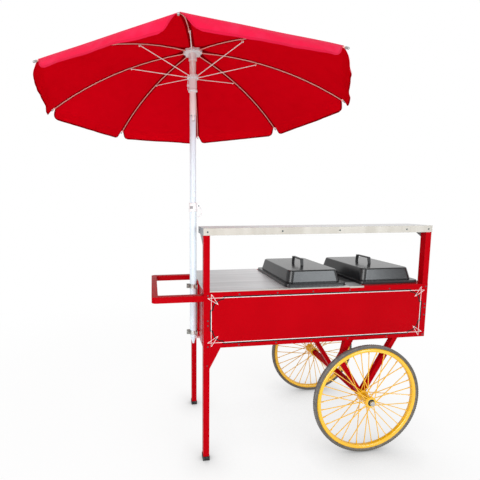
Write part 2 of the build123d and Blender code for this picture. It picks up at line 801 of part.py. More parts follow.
def canopy():
    """Eight cloth gores over the ribs, with a flap hanging from each straight edge."""
    lift = rib_r + cloth_gap + cloth
    edge_share = 1 - cloth_edge / rib_line.length
    start_share = cloth_shoulder / rib_line.length
    crown_top = crown_z + crown_plate / 2 + cloth_gap + cloth
    rings = []
    for i in range(cloth_rings + 1):
        share = edge_share + (start_share - edge_share) * i / cloth_rings
        spot = rib_line @ share + Vector(0, 0, lift)
        rings.append((spot.X, spot.Z))
    rings.append((crown_cover, crown_top))
    rings.append((finial_neck_r + cloth_gap, crown_top + cloth_gap))

    def skin(drop):
        outlines = [Pos(0, 0, z - drop) * RegularPolygon(r, rib_count, rotation=rib_heading)
                    for r, z in rings]
        return loft(outlines, ruled=True)

    body = skin(0) - skin(cloth)
    body -= disc(finial_neck_r + cloth_gap, crown_z, crown_top + crown_cover)
    edge_r, edge_z = rings[0]
    turn = pi / rib_count
    above = edge_r * sin(turn) - valance_notch
    below = above - valance_slant
    top = cloth / 2
    flap = make_face(Polyline((-above, top), (-below, -valance), (below, -valance), (above, top), close=True))
    flap = fillet(flap.vertices().group_by(Axis.Y)[0], valance_round)
    lean = radians(valance_flare)
    face = Plane((edge_r * cos(turn), 0, edge_z), x_dir=(0, 1, 0), z_dir=(cos(lean), 0, sin(lean)))
    flap = extrude(face * flap, -cloth)
    for angle in rib_angles:
        body += Rot(Z=angle + 180.0 / rib_count) * flap
    return on_mast(body)


nodes = {
    "front_left_post": post(0, 0, foot_sole, shelf_under),
    "front_right_post": post(right_x, 0, box_bottom, shelf_under),
    "back_left_leg": post(0, back_y, foot_sole, box_top),
    "back_right_post": post(right_x, back_y, box_bottom, box_top),
    "box_rails": box_rails(),
    "foot_caps": foot_caps(),
    "leg_gussets": leg_gussets(),
    "front_panel": block(left_face, right_face, front_face - panel_sheet, front_face, box_bottom, box_top),
    "end_panels": end_panels(),
    "floor_panel": floor_panel(),
    "worktop": worktop(),
    "overshelf": overshelf(),
    "shelf_brackets": shelf_brackets(),
    "push_handle": push_handle(),
    "axle_beam": axle_crossbeam(),
    "axle_braces": axle_braces(),
    "axle_spindles": axle_spindles(),
    "wheel_bearings": wheel_bearings(),
    "pan_left": pan(pan_left_x),
    "pan_right": pan(pan_right_x),
    "lid_left": lid(pan_left_x),
    "lid_right": lid(pan_right_x),
    "lid_handle_left": lid_handle(pan_left_x),
    "lid_handle_right": lid_handle(pan_right_x),
    "fuel_cans": fuel_cans(),
    "mast_bracket": mast_bracket(),
    "pole_clamps": pole_clamps(),
    "lower_pole": lower_pole(),
    "lock_collar": lock_collar(),
    "clamp_lever": clamp_lever(),
    "mid_pole": mid_pole(),
    "upper_pole": upper_pole(),
    "crown": crown(),
    "runner": runner(),
    "runner_catch": runner_catch(),
    "canopy": canopy(),
}
for side, place in ((-1, "front"), (1, "back")):
    nodes[f"hub_{place}"] = hub(side)
    nodes[f"spokes_{place}"] = spokes(side)
    nodes[f"rim_{place}"] = rim(side)
    nodes[f"tyre_{place}"] = tyre(side)
for number, angle in enumerate(rib_angles, start=1):
    nodes[f"rib_{number}"] = rib(angle)
    nodes[f"strut_{number}"] = strut(angle)

os.makedirs("parts", exist_ok=True)
for name, shape in nodes.items():
    export_step(shape, f"parts/{name}.step")
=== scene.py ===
import math

import bmesh
import bpy
from mathutils import Matrix, Vector, noise


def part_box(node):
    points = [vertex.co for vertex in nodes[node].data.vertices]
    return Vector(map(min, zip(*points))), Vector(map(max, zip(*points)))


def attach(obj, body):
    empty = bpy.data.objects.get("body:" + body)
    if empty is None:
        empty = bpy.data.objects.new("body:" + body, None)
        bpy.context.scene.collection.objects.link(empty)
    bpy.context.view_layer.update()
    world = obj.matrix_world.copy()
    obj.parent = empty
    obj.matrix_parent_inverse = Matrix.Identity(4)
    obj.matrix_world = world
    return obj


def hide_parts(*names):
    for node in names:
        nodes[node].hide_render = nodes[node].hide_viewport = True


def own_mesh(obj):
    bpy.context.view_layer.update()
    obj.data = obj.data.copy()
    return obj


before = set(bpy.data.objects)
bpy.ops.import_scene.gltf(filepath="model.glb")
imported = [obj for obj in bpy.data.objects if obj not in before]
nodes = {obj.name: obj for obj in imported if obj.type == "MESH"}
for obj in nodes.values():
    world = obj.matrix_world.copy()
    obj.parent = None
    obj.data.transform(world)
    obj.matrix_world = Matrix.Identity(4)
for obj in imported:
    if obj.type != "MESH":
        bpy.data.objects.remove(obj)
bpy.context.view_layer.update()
scene = bpy.context.scene


# Box frame. Posts, rails and gussets are square steel tube and plate, welded together
# and sprayed with red enamel, which is thin and pale along the edges. The two legs
# stand in moulded black rubber caps.

class Wire:
    """An output in a node tree. Arithmetic on it adds Math nodes, and node() adds any other."""

    def __init__(self, tree, socket=None):
        self.tree, self.socket = tree, socket

    def node(self, kind, settings=None, inputs=None, out=0):
        made = self.tree.nodes.new(kind)
        for key, value in (settings or {}).items():
            setattr(made, key, value)
        for key, value in (inputs or {}).items():
            if isinstance(value, Wire):
                self.tree.links.new(value.socket, made.inputs[key])
            else:
                made.inputs[key].default_value = value
        return Wire(self.tree, made.outputs[out])

    def feed(self, target):
        self.tree.links.new(self.socket, target)

    def math(self, operation, *values):
        return self.node("ShaderNodeMath", {"operation": operation}, dict(enumerate(values)))

    def __add__(self, other):
        return self.math("ADD", self, other)

    def __radd__(self, other):
        return self.math("ADD", other, self)

    def __sub__(self, other):
        return self.math("SUBTRACT", self, other)

    def __rsub__(self, other):
        return self.math("SUBTRACT", other, self)

    def __mul__(self, other):
        return self.math("MULTIPLY", self, other)

    def __rmul__(self, other):
        return self.math("MULTIPLY", other, self)

    def __truediv__(self, other):
        return self.math("DIVIDE", self, other)

    def __rtruediv__(self, other):
        return self.math("DIVIDE", other, self)

    def absolute(self):
        return self.math("ABSOLUTE", self)

    def larger(self, other):
        return self.math("MAXIMUM", self, other)

    def mix(self, first, second):
        """A colour between two, with this as the second one's share."""
        return self.node("ShaderNodeMix", {"data_type": "RGBA"}, {0: self, 6: first, 7: second}, 2)

    def step(self, low, high):
        """0 at low and 1 at high, and smooth between them."""
        return self.node("ShaderNodeMapRange", {"interpolation_type": "SMOOTHSTEP"},
                         {"Value": self, "From Min": low, "From Max": high})

    def place(self):
        return self.node("ShaderNodeTexCoord", out="Object")

    def part(self, axis):
        """One of a vector's three parts."""
        return self.node("ShaderNodeSeparateXYZ", None, {"Vector": self}, axis)

    def speckle(self, scale, detail=2.0, stretch=(1.0, 1.0, 1.0)):
        """Noise fixed to the piece, with this many lumps to the metre."""
        spot = self.node("ShaderNodeMapping", None, {"Vector": self.place(), "Scale": stretch})
        return self.node("ShaderNodeTexNoise", None, {"Vector": spot, "Scale": scale, "Detail": detail})

    def facing(self):
        return self.node("ShaderNodeNewGeometry", out="Normal")

    def edges(self, radius):
        """A normal that rounds sharp edges, and a mask that is 1 along them."""
        soft = self.node("ShaderNodeBevel", {"samples": 4}, {"Radius": radius})
        dot = self.node("ShaderNodeVectorMath", {"operation": "DOT_PRODUCT"}, {0: soft, 1: self.facing()}, 1)
        return soft, (1 - dot).step(0.015, 0.16)

    def bump(self, distance, strength=1.0, normal=None):
        """The normal of a surface that stands this far out where the value is 1."""
        inputs = {"Height": self, "Distance": distance, "Strength": strength}
        if normal:
            inputs["Normal"] = normal
        return self.node("ShaderNodeBump", None, inputs)


def finish(name, **settings):
    """A new material, its shader's sockets, and a Wire to build its nodes from."""
    material = bpy.data.materials.new(name)
    material.use_nodes = True
    shader = material.node_tree.nodes["Principled BSDF"].inputs
    for key, value in settings.items():
        shader[key.replace("_", " ")].default_value = value
    return material, shader, Wire(material.node_tree)


paint_round, orange_peel = 0.0016, 0.00012


def painted(name, colour, cloudy, edge_wear_and_shade, gloss, **settings):
    """Sprayed paint: a little cloudy, with orange peel, thin on edges, and on yellow a painted edge shade."""
    material, shader, start = finish(name, **settings)
    soft, edge = start.edges(paint_round)
    cloud = start.speckle(4.0, 4.0).step(0.3, 0.7)
    worn_and_shaded_edges = edge * start.speckle(160.0, 3.0).step(0.42, 0.62)
    worn_and_shaded_edges.mix(cloud.mix(colour, cloudy), edge_wear_and_shade).feed(shader["Base Color"])
    (gloss + 0.08 * start.speckle(40.0, 3.0)).feed(shader["Roughness"])
    start.speckle(380.0).bump(orange_peel, 0.5, soft).feed(shader["Normal"])
    return material


def dress(material, *names):
    """Gives CAD nodes their finish."""
    for name in names:
        for slot in nodes[name].material_slots:
            slot.material = material


red, deep_red, thin_red = (0.42, 0.0003, 0.0040, 1), (0.385, 0.0002, 0.0034, 1), (0.55, 0.02, 0.025, 1)
red_enamel = painted("red_enamel", red, deep_red, thin_red, 0.22, Specular_IOR_Level=0.02)
dress(red_enamel, "front_left_post", "front_right_post", "back_left_leg", "back_right_post", "box_rails",
      "leg_gussets", "push_handle")

cap_rubber, shader, start = finish("cap_rubber", Specular_IOR_Level=0.3)
scuff = start.speckle(90.0, 5.0).step(0.5, 0.75)
scuff.mix((0.012, 0.012, 0.013, 1), (0.07, 0.068, 0.065, 1)).feed(shader["Base Color"])
(0.55 + 0.25 * scuff).feed(shader["Roughness"])
start.speckle(700.0).bump(0.0001, 0.6).feed(shader["Normal"])
dress(cap_rubber, "foot_caps")


# Sheet panels. Flat sheet steel in the same red, with a waxed shine on the two ends,
# held to the posts and rails by steel blind rivets with domed heads. A Geometry Nodes
# tree makes the heads on points that carry the way they face.

dress(red_enamel, "front_panel", "floor_panel")
waxed_red = painted("waxed_red", red, deep_red, thin_red, 0.14, Specular_IOR_Level=0.28)
dress(waxed_red, "end_panels")

rivet_steel, shader, start = finish("rivet_steel", Metallic=0.5)
dull = start.speckle(220.0, 4.0)
dull.mix((0.012, 0.028, 0.032, 1), (0.06, 0.10, 0.11, 1)).feed(shader["Base Color"])
(0.40 + 0.2 * dull).feed(shader["Roughness"])


def new_tree(name, *sizes):
    """A Geometry Nodes tree with a cloud of points, sizes and a material as its inputs."""
    tree = bpy.data.node_groups.new(name, "GeometryNodeTree")
    tree.is_modifier = True
    tree.interface.new_socket("Geometry", in_out="INPUT", socket_type="NodeSocketGeometry")
    tree.interface.new_socket("Geometry", in_out="OUTPUT", socket_type="NodeSocketGeometry")
    for label in sizes:
        tree.interface.new_socket(label, in_out="INPUT", socket_type="NodeSocketFloat")
    tree.interface.new_socket("Finish", in_out="INPUT", socket_type="NodeSocketMaterial")
    entry = tree.nodes.new("NodeGroupInput")
    return Wire(tree), {socket.name: Wire(tree, socket) for socket in entry.outputs if socket.name}


def set_on_points(start, given, shape):
    """Ends a tree: the shape on each point, turned to face its way, as one plain mesh."""
    cloud = start.node("GeometryNodeMeshToPoints", None, {"Mesh": given["Geometry"]})
    way, lie = [start.node("GeometryNodeInputNamedAttribute", {"data_type": "FLOAT_VECTOR"}, {"Name": label})
                for label in ("facing", "lie")]
    turn = start.node("FunctionNodeAlignRotationToVector", {"axis": "Z"}, {"Vector": way})
    turn = start.node("FunctionNodeAlignRotationToVector", {"axis": "X", "pivot_axis": "Z"},
                      {"Rotation": turn, "Vector": lie})
    many = start.node("GeometryNodeInstanceOnPoints", None,
                      {"Points": cloud, "Instance": shape, "Rotation": turn})
    many = start.node("GeometryNodeRealizeInstances", None, {0: many})
    many = start.node("GeometryNodeSetMaterial", None, {"Geometry": many, "Material": given["Finish"]})
    many.feed(start.tree.nodes.new("NodeGroupOutput").inputs[0])
    return start.tree


def place_piece(piece, body):
    """Puts a piece on the body that it moves with."""
    if piece.name not in scene.collection.objects:
        scene.collection.objects.link(piece)
    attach(piece, body)
    return piece


def settle(piece):
    """Keeps what a piece's modifiers make as its own plain mesh."""
    made = bpy.data.meshes.new_from_object(piece.evaluated_get(bpy.context.evaluated_depsgraph_get()))
    piece.modifiers.clear()
    piece.data = made


def grown(name, spots, tree, sizes, material, body):
    """Runs a tree on spots, each a point, the way it faces and the way it lies."""
    mesh = bpy.data.meshes.new(name)
    mesh.from_pydata([spot[0] for spot in spots], [], [])
    for label, index in (("facing", 1), ("lie", 2)):
        ways = mesh.attributes.new(label, "FLOAT_VECTOR", "POINT")
        for way, spot in zip(ways.data, spots):
            way.vector = spot[index]
    piece = bpy.data.objects.new(name, mesh)
    scene.collection.objects.link(piece)
    modifier = piece.modifiers.new("grown", "NODES")
    modifier.node_group = tree
    values = dict(sizes, Finish=material)
    for item in tree.interface.items_tree:
        if item.in_out == "INPUT" and item.name in values:
            modifier[item.identifier] = values[item.name]
    settle(piece)
    return place_piece(piece, body)


start, given = new_tree("domed_heads", "Radius", "Height")
dome = start.node("GeometryNodeMeshUVSphere", None, {"Segments": 14, "Rings": 8, "Radius": given["Radius"]})
flat = start.node("ShaderNodeCombineXYZ", None, {"X": 1.0, "Y": 1.0, "Z": given["Height"] / given["Radius"]})
dome = start.node("GeometryNodeTransform", None, {"Geometry": dome, "Scale": flat})
dome = start.node("GeometryNodeSetShadeSmooth", None, {0: dome})
rivet_tree = set_on_points(start, given, dome)


def rivet_heads(name, spots, radius, height):
    """Domed steel heads on the cart."""
    sizes = {"Radius": radius, "Height": height}
    return grown(name, spots, rivet_tree, sizes, rivet_steel, "cart")


TO_FRONT, TO_BACK = Vector((0, -1, 0)), Vector((0, 1, 0))
TO_LEFT, TO_RIGHT, UP = Vector((-1, 0, 0)), Vector((1, 0, 0)), Vector((0, 0, 1))
panel_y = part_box("front_panel")[0].y
rivet_rows = ((0.9055, (0.170, 0.374, 0.569, 0.776, 1.006)), (0.636, (0.170, 0.372, 0.569, 0.776, 1.005)))
rivet_columns = ((0.0062, (0.903, 0.771, 0.745, 0.633)), (1.2225, (0.910, 0.811, 0.791, 0.750, 0.637)))
front_spots = [(x, z) for z, row in rivet_rows for x in row]
front_spots += [(x, z) for x, column in rivet_columns for z in column]
rivet_heads("front_panel_rivets", [(Vector((x, panel_y, z)), TO_FRONT, UP) for x, z in front_spots],
            0.0042, 0.002)

end_low, end_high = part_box("end_panels")
end_rivet_y, end_rivet_z = (0.024, 0.434), (0.64, 0.71, 0.84, 0.905)
end_spots = [(Vector((x, y, z)), way, UP) for x, way in ((end_low.x, TO_LEFT), (end_high.x, TO_RIGHT))
             for y in end_rivet_y for z in end_rivet_z]
rivet_heads("end_panel_rivets", end_spots, 0.0038, 0.0018)


# Pinstripe. A signwriter's border on the front panel: a white line with a black one
# outside it, stepped and rounded at the corners, where thin white strokes cross in a
# pointed star. Each line is a skin of paint a fraction of a millimetre thick.

stripe_left, stripe_right, stripe_low, stripe_high = 0.0190, 1.2015, 0.6485, 0.8950
stripe_black, stripe_white, stripe_thin = 0.0064, 0.0032, 0.0016
stripe_inset = (stripe_black + stripe_white) / 2
corner_run, corner_step, corner_round, corner_cut, corner_points = 0.070, 0.0125, 0.054, 0.003, 12
star_up, star_out, star_in = -0.016, -0.015, (0.041, 0.040)
stroke_wide = stripe_white * 0.8
stroke_shape = ((0.0, 0.0004), (0.12, 0.0024), (0.5, stripe_thin), (0.9, 0.0022), (1.0, 0.0004))
line_film, stroke_film = 0.00022, 0.00034


def stripe_paint(name, colour, front_light_and_wear):
    """Brushed lining enamel, glossy, with slight streaks and pinholes."""
    material, shader, start = finish(name, Specular_IOR_Level=0.12)
    streak = start.speckle(300.0, 4.0, (0.2, 1.0, 0.2))
    streak.step(0.45, 0.75).mix(colour, front_light_and_wear).feed(shader["Base Color"])
    (0.3 + 0.2 * streak).feed(shader["Roughness"])
    streak.bump(0.00008, 0.5).feed(shader["Normal"])
    return material


white_lining = stripe_paint("white_lining", (0.80, 0.80, 0.78, 1), (0.62, 0.60, 0.58, 1))
black_lining = stripe_paint("black_lining", (0.004, 0.004, 0.005, 1), (0.016, 0.012, 0.012, 1))


def ribbon(path, widths, closed=False):
    """Quads along a path of x and z, as wide at each point as widths says."""
    count = len(path)
    sides = []
    for i, here in enumerate(path):
        before = path[i - 1] if i or closed else here
        after = path[(i + 1) % count] if i < count - 1 or closed else here
        first, second = here - before, after - here
        first = first.normalized() if first.length else second.normalized()
        second = second.normalized() if second.length else first
        across = Vector((-first.y - second.y, first.x + second.x)).normalized()
        reach = widths[i] / 2 / max(0.5, across.dot(Vector((-second.y, second.x))))
        sides.append((here + across * reach, here - across * reach))
    pairs = zip(sides, sides[1:] + sides[:1] if closed else sides[1:])
    return [(first[0], first[1], second[1], second[0]) for first, second in pairs]


def kept_mesh(work, name):
    """Turns a finished bmesh into a mesh."""
    mesh = bpy.data.meshes.new(name)
    work.to_mesh(mesh)
    work.free()
    return mesh


def thickened(mesh, thickness, side, lining=0):
    """A piece from a single skin, made thick outwards (1) or inwards (-1) of its faces.

    The lining says how many slots further on the material of the inner wall is."""
    piece = bpy.data.objects.new(mesh.name, mesh)
    scene.collection.objects.link(piece)
    wall = piece.modifiers.new("wall", "SOLIDIFY")
    wall.thickness, wall.offset, wall.use_even_offset = thickness, side, True
    wall.material_offset = lining
    settle(piece)
    return piece


def lay_paint(name, quads, film, material):
    """A film of paint on the front panel, from quads of x and z."""
    work = bmesh.new()
    for quad in quads:
        work.faces.new([work.verts.new((p.x, panel_y, p.y)) for p in quad])
    bmesh.ops.remove_doubles(work, verts=work.verts, dist=1e-6)
    work.normal_update()
    for face in work.faces:
        if face.normal.dot(TO_FRONT) < 0:
            face.normal_flip()
    mesh = kept_mesh(work, name)
    mesh.materials.append(material)
    return place_piece(thickened(mesh, film, 1.0), "cart")


def from_corner(corner, across, rise):
    """A point this far into the border from one of its corners."""
    x, z, right, up = corner
    return Vector((x + right * across, z + up * rise))


corners = [(stripe_left, stripe_high, 1, -1), (stripe_right, stripe_high, -1, -1),
           (stripe_right, stripe_low, -1, 1), (stripe_left, stripe_low, 1, 1)]
border, white_quads, stroke_quads = [], [], []
for number, corner in enumerate(corners):
    pull = corner_run - corner_cut
    turn = [from_corner(corner, corner_run, 0), from_corner(corner, pull, corner_step)]
    for k in range(1, corner_points):
        angle = math.radians(90 * k / corner_points)
        turn.append(from_corner(corner, pull - corner_round * math.sin(angle),
                                corner_step + corner_round * (1 - math.cos(angle))))
    turn += [from_corner(corner, corner_step, pull), from_corner(corner, 0, corner_run)]
    border += turn[::-1] if number % 2 == 0 else turn
    inner = from_corner(corner, *star_in)
    strokes = ((from_corner(corner, stripe_inset, star_up), from_corner(corner, stripe_inset, corner_run)),
               (from_corner(corner, star_out, stripe_inset), from_corner(corner, corner_run, stripe_inset)))
    for end, run in strokes:
        stroke_quads += ribbon([run, end], [stroke_wide, stripe_thin])
        stroke_quads += ribbon([end.lerp(inner, share) for share, wide in stroke_shape],
                               [wide for share, wide in stroke_shape])
for z, lean in ((stripe_high, -1), (stripe_low, 1)):
    level = z + lean * stripe_inset
    ends = [Vector((stripe_left + corner_run, level)), Vector((stripe_right - corner_run, level))]
    white_quads += ribbon(ends, [stripe_white] * 2)
for x, lean in ((stripe_left, 1), (stripe_right, -1)):
    column = x + lean * stripe_inset
    ends = [Vector((column, stripe_low + corner_run)), Vector((column, stripe_high - corner_run))]
    white_quads += ribbon(ends, [stripe_white] * 2)
black_quads = ribbon(border, [stripe_black] * len(border), True)
lay_paint("border_line_black", black_quads, line_film, black_lining)
lay_paint("border_line_white", white_quads, line_film, white_lining)
lay_paint("corner_stars", stroke_quads, stroke_film, white_lining)


# Worktop and overshelf. Brushed stainless sheet, folded over the rails and posts, with the
# grain along the cart and a painted dark reflection on the strip between the pans, less at
# its front. Painted light lies on the rest: brighter along the cart and in soft bands, a warm
# painted reflection on front faces, painted shade on left ends and a painted edge highlight.
# The shelf's lip is riveted to the posts, and grey plate brackets hold it from behind.

dark_reflection_from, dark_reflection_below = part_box("pan_left")[1].x, 1.0
dark_reflection_thin, dark_reflection_thick = 0.045, 0.075
dim_steel, bright_steel, edge_highlight_steel = (0.36, 0.36, 0.365, 1), (0.74, 0.74, 0.75, 1), (0.56, 0.56, 0.56, 1)
dim_lip, bright_lip, shaded_end_lip = (0.42, 0.394, 0.350, 1), (0.52, 0.494, 0.452, 1), (0.27, 0.28, 0.29, 1)
dark_reflection_colour = (0.05, 0.05, 0.052, 1)
brushed_steel, shader, start = finish("brushed_steel", Metallic=1.0)
soft, edge = start.edges(0.0012)
frontal, endwise = [start.facing().part(axis).step(-0.5, -0.9) for axis in "YX"]
along, depth, height = [start.place().part(axis) for axis in "XYZ"]
grain = start.speckle(700.0, 3.0, (0.012, 1.0, 1.0))
brush = start.speckle(90.0, 3.0, (0.02, 1.0, 1.0)).step(0.3, 0.7)
# Painted light: broad soft bands of reflection across the steel, and brightness rising from left to right
# along the cart.
reflection_bands = start.speckle(4.0, 3.0, (1.0, 0.15, 0.15)).step(0.3, 0.7)
streak = start.speckle(16.0, 4.0, (1.0, 0.02, 0.02)).step(0.3, 0.7)
grain_and_painted_light = 0.2 * reflection_bands + 0.2 * grain + 0.3 * brush + 0.3 * along.step(0.0, 0.42)
# A painted dark reflection of the lids lies on the strip between the pans, weaker at its front.
dark_reflection_mask = along.step(dark_reflection_from - 0.001, dark_reflection_from + 0.001) * height.step(dark_reflection_below, dark_reflection_below - 0.01)
dark_reflection_mask = dark_reflection_mask * (0.35 + 0.65 * depth.step(dark_reflection_thin, dark_reflection_thick))
level = dark_reflection_mask.mix(grain_and_painted_light.mix(dim_steel, bright_steel), dark_reflection_colour)
# Front faces take a warm, streaked painted reflection, and left end faces a painted shade.
lip = (0.7 * streak + 0.3 * grain).mix(dim_lip, bright_lip)
# Edges take a plain grey as a painted edge highlight.
edge.mix(endwise.mix(frontal.mix(level, lip), shaded_end_lip), edge_highlight_steel).feed(shader["Base Color"])
(0.27 + 0.14 * grain + 0.08 * reflection_bands + 0.2 * dark_reflection_mask + 0.16 * frontal).feed(shader["Roughness"])
grain.bump(0.00006, 0.4, soft).feed(shader["Normal"])
dress(brushed_steel, "worktop", "overshelf")

shelf_low, shelf_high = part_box("overshelf")
lip_down, end_y, lip_rivets = 0.019, 0.112, (0.004, 0.392, 0.704, 1.085, 1.214)
lip_z = shelf_high.z - lip_down
lip_spots = [(Vector((x, shelf_low.y, lip_z)), TO_FRONT, UP) for x in lip_rivets]
lip_spots += [(Vector((x, end_y, lip_z)), way, UP)
              for x, way in ((shelf_low.x, TO_LEFT), (shelf_high.x, TO_RIGHT))]
rivet_heads("shelf_rivets", lip_spots, 0.0044, 0.002)

grey_plate = painted("grey_plate", (0.28, 0.29, 0.30, 1), (0.23, 0.24, 0.25, 1), (0.5, 0.5, 0.5, 1), 0.42)
dress(grey_plate, "shelf_brackets")


# Axle. Square bar between the wheels, braced to the box and red like it, with turned steel
# spindles, hexagon nuts and sealed bearings in black at its ends.

dress(red_enamel, "axle_beam", "axle_braces")
turned_steel, shader, start = finish("turned_steel", Metallic=1.0)
soft, edge = start.edges(0.0008)
ring_mark = start.speckle(500.0, 3.0)
turned = ring_mark.mix((0.42, 0.42, 0.43, 1), (0.62, 0.62, 0.62, 1))
edge.mix(turned, (0.8, 0.8, 0.8, 1)).feed(shader["Base Color"])
(0.24 + 0.2 * ring_mark).feed(shader["Roughness"])
ring_mark.bump(0.00005, 0.4, soft).feed(shader["Normal"])
dress(turned_steel, "axle_spindles")

bearing_seal = painted("bearing_seal", (0.016, 0.015, 0.014, 1), (0.024, 0.021, 0.019, 1),
                       (0.09, 0.085, 0.08, 1), 0.4, Specular_IOR_Level=0.4)
dress(bearing_seal, "wheel_bearings")


# Wheels. Pressed rims, turned hubs and crossed wire spokes with a nipple at each outer
# end, all sprayed yellow, and solid rubber tyres, dusty, with painted shade in a dark line
# round the middle of the tread and on the walls, and a row of moulded lugs on each shoulder.

wheel_centre, wheel_radius, rim_inner = Vector((0.880, 0, 0.305)), 0.305, 0.2659
track_middle, half_track = 0.229, 0.280
nipple_count, nipple_sunk, nipple_sizes = 36, 0.005, {"Radius": 0.0034, "Length": 0.012}
lug_count, lug_sunk, lug_aside, lug_rise, lug_lean = 150, 0.0045, 0.0105, 0.744, 0.668
lug_sizes = {"Long": 0.0080, "Wide": 0.0036, "High": 0.0022}
# The yellow's edge colour is a darker orange: painted shade along the rounded rims and other edges.
yellow_enamel = painted("yellow_enamel", (0.86, 0.495, 0.009, 1), (0.82, 0.455, 0.007, 1),
                        (0.66, 0.35, 0.009, 1), 0.14, Specular_IOR_Level=0.8)

tyre_rubber, shader, start = finish("tyre_rubber", Specular_IOR_Level=0.25)
# The dark line round the middle of the tread and the dark walls are painted shade.
from_tread = ((start.place().part("Y") - track_middle).absolute() - half_track).absolute()
painted_shade_bands = from_tread.step(0.0022, 0.0012).larger(from_tread.step(0.0105, 0.0125))
dust_and_shade = start.speckle(60.0, 5.0).step(0.2, 0.7) * (1 - 0.85 * painted_shade_bands)
dust_and_shade.mix((0.105, 0.102, 0.094, 1), (0.21, 0.205, 0.19, 1)).feed(shader["Base Color"])
(0.62 + 0.2 * dust_and_shade).feed(shader["Roughness"])
start.speckle(420.0, 3.0).bump(0.0003, 0.6).feed(shader["Normal"])

start, given = new_tree("spoke_nipples", "Radius", "Length")
sleeve = start.node("GeometryNodeMeshCone", {"fill_type": "NGON"},
                    {"Vertices": 8, "Radius Top": given["Radius"] * 0.72, "Radius Bottom": given["Radius"],
                     "Depth": given["Length"]})
nipple_tree = set_on_points(start, given, sleeve)
start, given = new_tree("tread_lugs", "Long", "Wide", "High")
size = start.node("ShaderNodeCombineXYZ", None,
                  {"X": given["Long"], "Y": given["Wide"], "Z": given["High"]})
lug_tree = set_on_points(start, given, start.node("GeometryNodeMeshCube", None, {"Size": size}))


def round_wheel(count):
    """The ways out from the axle to this many points round a wheel."""
    turns = [k * math.tau / count for k in range(count)]
    return [Vector((math.cos(turn), 0, math.sin(turn))) for turn in turns]


for side, middle in (("front", track_middle - half_track), ("back", track_middle + half_track)):
    body, centre = side + "_wheel", wheel_centre + TO_BACK * middle
    dress(yellow_enamel, "hub_" + side, "spokes_" + side, "rim_" + side)
    dress(tyre_rubber, "tyre_" + side)
    nipples = [(centre + out * (rim_inner - nipple_sunk), -out, TO_BACK) for out in round_wheel(nipple_count)]
    lugs = []
    for out in round_wheel(lug_count):
        for way in (TO_FRONT, TO_BACK):
            spot = centre + way * lug_aside + out * (wheel_radius - lug_sunk)
            lugs.append((spot, out * lug_rise + way * lug_lean, way * lug_rise - out * lug_lean))
    grown("spoke_nipples_" + side, nipples, nipple_tree, nipple_sizes, yellow_enamel, body)
    grown("tread_lugs_" + side, lugs, lug_tree, lug_sizes, tyre_rubber, body)


# Pans and lids. Pressed steel trays in black enamel hang in the top by their rims, each
# under a bevelled lid with a strap handle. The enamel is semi-gloss and a little greyed
# by heat and wiping. Tins of cooking fuel stand on the floor below.

black_enamel = painted("black_enamel", (0.006, 0.0065, 0.0075, 1), (0.011, 0.0115, 0.013, 1),
                       (0.09, 0.095, 0.10, 1), 0.16, Specular_IOR_Level=0.5)
dress(black_enamel, "pan_left", "pan_right", "lid_left", "lid_right")
handle_plastic = painted("handle_plastic", (0.014, 0.014, 0.015, 1), (0.02, 0.02, 0.021, 1),
                         (0.07, 0.07, 0.07, 1), 0.42, Specular_IOR_Level=0.45)
dress(handle_plastic, "lid_handle_left", "lid_handle_right")
can_tin, shader, start = finish("can_tin", Metallic=1.0)
haze = start.speckle(60.0, 3.0)
haze.mix((0.5, 0.5, 0.5, 1), (0.66, 0.65, 0.63, 1)).feed(shader["Base Color"])
(0.3 + 0.2 * haze).feed(shader["Roughness"])
dress(can_tin, "fuel_cans")


# Mast. White-sprayed steel tubes, one inside the other, clamped to a red bar on the box by
# bolted steel bands. Their white is painted light: cooler and bluer on the lower tubes and
# warmer on the tube above the tilt joint. A moulded white collar with a loop lever grips the
# inner tube, and has a plain grey pad on its face.

mast = Vector((-0.04425, 0.164, 0))
worn_white = (0.6, 0.6, 0.6, 1)
# The lower tubes' blue-white and the upper tube's warmer white are painted light.
cool_lit_white = painted("cool_lit_white", (0.70, 0.80, 0.87, 1), (0.67, 0.77, 0.84, 1), worn_white, 0.26,
                      Specular_IOR_Level=0.5)
dress(cool_lit_white, "lower_pole", "mid_pole")
dress(red_enamel, "mast_bracket")
warm_lit_white = painted("warm_lit_white", (0.88, 0.86, 0.84, 1), (0.85, 0.83, 0.81, 1), worn_white, 0.26,
                     Specular_IOR_Level=0.5)
dress(warm_lit_white, "upper_pole")
white_moulding = painted("white_moulding", (0.82, 0.83, 0.84, 1), (0.78, 0.79, 0.80, 1),
                         (0.88, 0.88, 0.88, 1), 0.36, Specular_IOR_Level=0.45)
dress(white_moulding, "lock_collar", "clamp_lever")

clamp_steel, shader, start = finish("clamp_steel", Metallic=1.0)
soft, edge = start.edges(0.0008)
# Painted light and shade: the bands are dark behind the pole, by the bracket and its bolts, and bright in
# front, with a little random wear in the bright part.
in_front = mast.y - start.place().part("Y")
front_light_and_wear = in_front.step(0.008, 0.019) * (0.6 + 0.4 * start.speckle(120.0, 3.0))
band = front_light_and_wear.mix((0.26, 0.27, 0.25, 1), (0.80, 0.80, 0.77, 1))
edge.mix(band, (0.75, 0.75, 0.73, 1)).feed(shader["Base Color"])
(0.22 + 0.2 * start.speckle(300.0, 2.0)).feed(shader["Roughness"])
soft.feed(shader["Normal"])
dress(clamp_steel, "pole_clamps")

